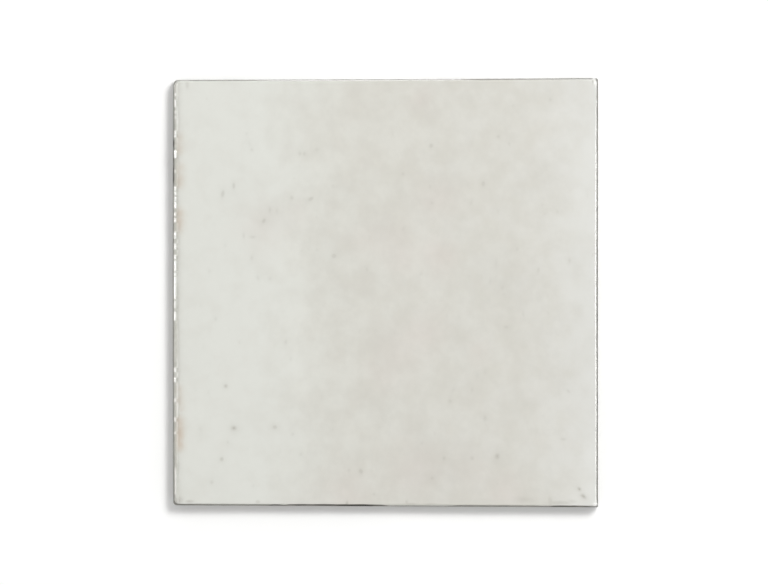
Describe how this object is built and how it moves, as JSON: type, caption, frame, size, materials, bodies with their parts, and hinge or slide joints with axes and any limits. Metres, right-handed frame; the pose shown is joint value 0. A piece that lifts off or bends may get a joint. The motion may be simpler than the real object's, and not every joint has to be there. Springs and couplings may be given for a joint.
{
  "type": "wall tile",
  "caption": "Square glazed ceramic wall tile with a gently wavy white face, softly rolled edges and a keyed back for adhesive.",
  "frame": {"origin": "middle of the tile's back, in the plane of its ribs and border", "axes": "+Z out of the glazed face, +Y towards the side that is uppermost on the wall, +X to the right as one faces the glaze"},
  "size_m": [0.132, 0.1332, 0.009],
  "materials": {
    "glazed_ceramic": "gloss"
  },
  "bodies": {
    "root": {"wall_tile": "glazed_ceramic"}
  },
  "joints": []
}
